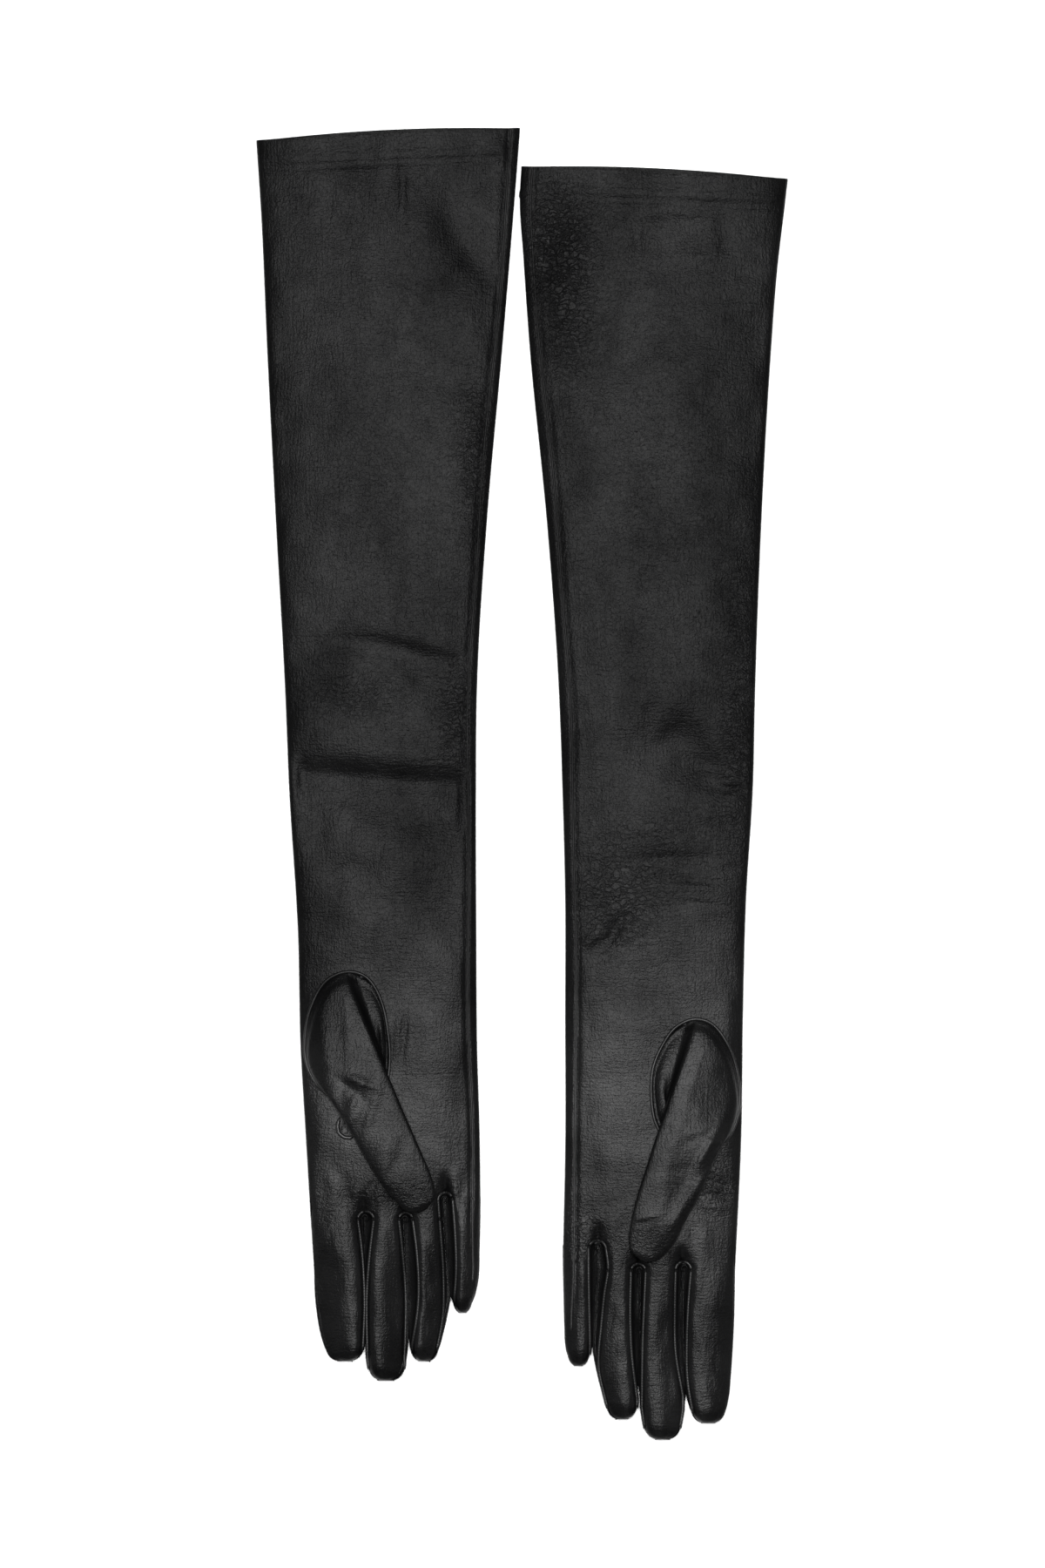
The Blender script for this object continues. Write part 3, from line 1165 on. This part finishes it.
# %% Thumb rings
AROUND = 72  # faces round a thumb
TIP_LENGTH = 5  # length over which a thumb's tip rounds off
# u, y, direction, length, width, height of each fold on a thumb
THUMB_FOLDS = {
    "right": [
        (90.5, -118, 88, 22, 1.8, 0.31), (95, -126, 86, 20, 4, -0.25), (103, -132, 84, 22, 3.5, 0.37),
        (87, -158, 40, 9, 2.2, -0.5), (84, -153, 22, 9, 2.2, 0.62), (88, -166, 112, 7, 1.8, 0.68),
        (93, -162, 100, 9, 2.4, -0.35), (82, -172, 112, 14, 2.0, -0.62), (79, -166, 112, 16, 3.5, 0.56),
        (90, -176, 122, 9, 1.8, 0.5), (73, -190, 114, 16, 5, 0.37), (66, -198, 114, 14, 3, -0.31),
        (74, -206, 112, 14, 2.4, 0.31), (60, -212, 60, 5, 3, 0.31),
    ],
    "left": [
        (89, -148, 74, 20, 2.6, 0.4), (102, -166, 84, 26, 8, -0.5), (98, -176, 30, 9, 3.0, 0.35),
        (101.5, -186, 62, 7, 1.8, -0.9), (98, -183, 62, 9, 2.0, 0.6), (97, -196, 52, 7, 1.6, -0.7),
        (93, -192, 56, 9, 2.0, 0.6), (90, -182, 28, 8, 2.0, -0.25), (91, -206, 66, 9, 1.6, 0.45),
        (86, -201, 70, 10, 2.2, -0.35), (82, -219, 62, 9, 2.2, 0.5), (79, -212, 72, 16, 4, -0.4),
        (76, -190, 74, 18, 4, 0.35), (61, -226, 12, 4.5, 1.1, -0.2), (64, -223, 12, 8, 1.6, 0.3),
        (72, -232, 66, 8, 3, 0.35),
    ],
}


def thumb_sheet(side, ks, draw=0.0):
    """Rings of the thumb's base for ks from 0 at the hole to 1 at the bend."""
    corner, n = HOLE_CORNER[side], len(HOLE[side])
    half = AROUND // 2
    over = hole_ring(side, half + 1, corner, n)
    under = hole_ring(side, half + 1, 0, corner)
    hole = np.concatenate([over, under[1:]])
    hole_z = palm(side, hole[:, 0], hole[:, 1]) - 0.7
    bend = thumb_ring(side, np.array([0.0]), draw)[0]
    ks = np.asarray(ks, float)[:, None]
    rising = ks**0.42
    points = np.empty((len(ks), AROUND + 1, 3))
    for a in (0, 1):
        points[..., a] = hole[None, :, a] + (bend[None, :, a] - hole[None, :, a]) * ks
    points[..., 2] = hole_z[None] + (bend[None, :, 2] - hole_z[None]) * rising - draw * (1 - ks)
    beneath = np.arange(AROUND + 1) > half
    points[..., 2] -= np.where(beneath[None], 4.4 * np.sin(math.pi * ks) ** 0.5, 0)
    points[..., 2] -= 0.9 * bump(ks, 0.05, 0.035)
    return points


def thumb_ring(side, along, draw=0.0):
    """Rings across the free thumb at distances along it."""
    base_u, base_y = GLOVES[side]["thumb"]
    lean = math.radians(LEAN[side])
    c, s = math.cos(lean), math.sin(lean)
    rows = curve(THUMB[side], along)
    length = THUMB[side][-1][0]
    end = np.clip(1 - (length - along) / TIP_LENGTH, 0, 1)
    width = np.sqrt(np.clip(1 - end**2.4, 0, 1))[:, None]
    angle = np.linspace(0, 2 * math.pi, AROUND + 1)[None, :]
    middle = (rows[:, :1] + rows[:, 1:]) / 2
    half_w = ((rows[:, 1:] - rows[:, :1]) / 2 - draw) * np.maximum(width, 0.55)
    thinner = (1 - 0.25 * step(along, length - 26, length))[:, None]
    tall = THUMB_H / 2 * thinner * np.maximum(width, 0.12) - draw * 0.8
    tall = np.maximum(tall, 0.2)
    x = middle + half_w * np.cos(angle)
    lift = np.sign(np.sin(angle)) * np.abs(np.sin(angle)) ** np.where(np.cos(angle) < 0, 0.24, 0.5)
    z = THUMB_Z + THUMB_H / 2 - 0.8 * step(along, length - 26, length)[:, None] + tall * lift
    along = along[:, None]
    return np.stack([base_u + c * x - s * along, base_y - s * x - c * along, z], axis=2)


def thumb_relief(side, points, strength):
    """Press the folds into the upper side of a thumb."""
    u, y = points[..., 0], points[..., 1]
    total = np.zeros(u.shape)
    for fu, fy, turn, length, width, height in THUMB_FOLDS[side]:
        c, s = math.cos(math.radians(turn)), math.sin(math.radians(turn))
        along, across = (u - fu) * c + (y - fy) * s, (y - fy) * c - (u - fu) * s
        total += 1.25 * height * np.exp(-((along / length) ** 2) - (across / width) ** 2)
    total += 0.2 * wander(u, y, 26, 31) + 0.05 * wander(u, y, 9, 32)
    above = np.clip(np.sin(np.linspace(0, 2 * math.pi, AROUND + 1)), 0, 1) ** 0.5
    points[..., 2] += total * above * strength
    return points


print("thumb folds:", {side: len(rows) for side, rows in THUMB_FOLDS.items()})

# %% Sew the thumbs
for side in SIDES:
    body, hand = f"{side}_thumb", f"{side}_hand"
    ks = np.linspace(0, 1, 41)
    base_points = thumb_relief(side, thumb_sheet(side, ks), step(ks, 0, 0.25)[:, None])
    base = close(grid(f"{side}_thumb_rise", AROUND, 40, base_points), side)
    thicken(base, FINGER_T)
    length = THUMB[side][-1][0]
    round_end = length - TIP_LENGTH * (1 - np.sin(np.linspace(0, math.pi / 2, 12)[1:]))
    along = np.concatenate([np.linspace(0, length - TIP_LENGTH, 60), round_end])
    free = thumb_relief(side, thumb_ring(side, along), (1 - step(along, length - 20, length))[:, None])
    skin = close(grid(f"{side}_thumb_leather", AROUND, len(along) - 1, free), side)
    thicken(skin, FINGER_T)
    inner_along = np.linspace(0, length - 3, 24)
    inner = close(grid(f"{side}_thumb_knit", AROUND, 23, thumb_ring(side, inner_along, 1.2)), side)
    lean = math.radians(LEAN[side])
    bu, by = GLOVES[side]["thumb"]
    bend = (hand, at(side, bu, by), at(side, bu - BLEND * math.sin(lean), by - BLEND * math.cos(lean)))
    finish_piece(base, NAPPA, hand, [f"{side}_thumb_base"])
    finish_piece(skin, NAPPA, body, [f"{side}_thumb"], bend)
    finish_piece(inner, KNIT, body, [f"{side}_thumb_lining"], bend)
    ring = hole_ring(side, 160)
    path = np.column_stack([ring, palm(side, ring[:, 0], ring[:, 1]) - 0.1])
    if side == "right":
        # a small loop of leather peeps out beside this thumb
        tab = np.array([(94, -171.5), (95.2, -176), (94.6, -179.8),
                        (92, -182), (88.6, -182.4), (86.5, -180.6)])
        tab_path = np.column_stack([tab, palm(side, tab[:, 0], tab[:, 1]) + 1.3])
        tab = close(rope("right_thumb_tab", tab_path, 1.05), side)
        finish_piece(tab, SEAM_NAPPA, hand, [])
    welt = close(rope(f"{side}_thumb_welt", path, 0.9, taper=False), side)
    finish_piece(welt, SEAM_NAPPA, hand, [f"{side}_thumb_hole_seam"])
    print(side, "thumb:", base.name, skin.name, inner.name, welt.name)

# %% [markdown]
# ## Labels
# The labels already have their true shape in the frame, so they only get their ribbon.

# %% Finish the labels
for side in SIDES:
    label = frame["nodes"][f"{side}_size_label"]
    label.data.materials.clear()
    label.data.materials.append(RIBBON)
print("pieces made:", len(made))

# %% [markdown]
# ## Floor, light and camera
# The gloves lie on a white floor under one broad soft light, with weaker ones all round. The camera
# looks straight down through a long lens.

# %% Stage
def plain(name, colour, rough):
    """A material of one colour."""
    material = bpy.data.materials.new(name)
    material.use_nodes = True
    shader = material.node_tree.nodes["Principled BSDF"]
    shader.inputs["Base Color"].default_value = (*colour, 1)
    shader.inputs["Roughness"].default_value = rough
    return material


bpy.ops.object.select_all(action="DESELECT")
bpy.ops.mesh.primitive_plane_add(size=12, location=(0, 0, -0.0006))
floor = bpy.context.object
floor.name = "floor"
floor.data.materials.append(plain("white floor", (0.93, 0.93, 0.93), 0.9))
print("floor:", floor.name)

# %% Lights and camera
def soft_light(name, place, size, power):
    """An area light that faces the middle of the pair, hidden from the camera."""
    bpy.ops.object.light_add(type="AREA", location=place)
    lamp = bpy.context.object
    lamp.name = name
    lamp.data.shape, lamp.data.size, lamp.data.size_y = "RECTANGLE", *size
    lamp.data.energy = power
    lamp.visible_camera = False
    lamp.rotation_mode = "QUATERNION"
    lamp.rotation_quaternion = lamp.location.to_track_quat("Z", "Y")
    return lamp


soft_light("overhead", (0.0, 0.2, 2.4), (1.2, 1.2), 105)
soft_light("left side", (-2.3, -0.4, 1.5), (1.4, 2.6), 14)
soft_light("right side", (2.3, -0.4, 1.5), (1.4, 2.6), 12)
soft_light("beyond the cuffs", (0.0, 2.6, 1.5), (2.2, 1.2), 11)
soft_light("before the fingers", (0.0, -2.6, 1.5), (2.2, 1.2), 9)
world = bpy.data.worlds.new("room")
world.use_nodes = True
world.node_tree.nodes["Background"].inputs["Color"].default_value = (0.9, 0.9, 0.9, 1)
world.node_tree.nodes["Background"].inputs["Strength"].default_value = 0.15
bpy.context.scene.world = world

LENS, SENSOR, VIEW_HEIGHT = 200, 36, 0.81  # in mm, in mm, and the height of the view in metres
bpy.ops.object.camera_add(location=(0.0002, 0, VIEW_HEIGHT * LENS / SENSOR))
camera = bpy.context.object
camera.name = "camera"
camera.data.lens = LENS
camera.data.sensor_width = SENSOR
camera.data.clip_end = 50
bpy.context.scene.camera = camera
bpy.context.scene.view_settings.view_transform = "Standard"
print("camera height:", round(camera.location.z, 2), "m")
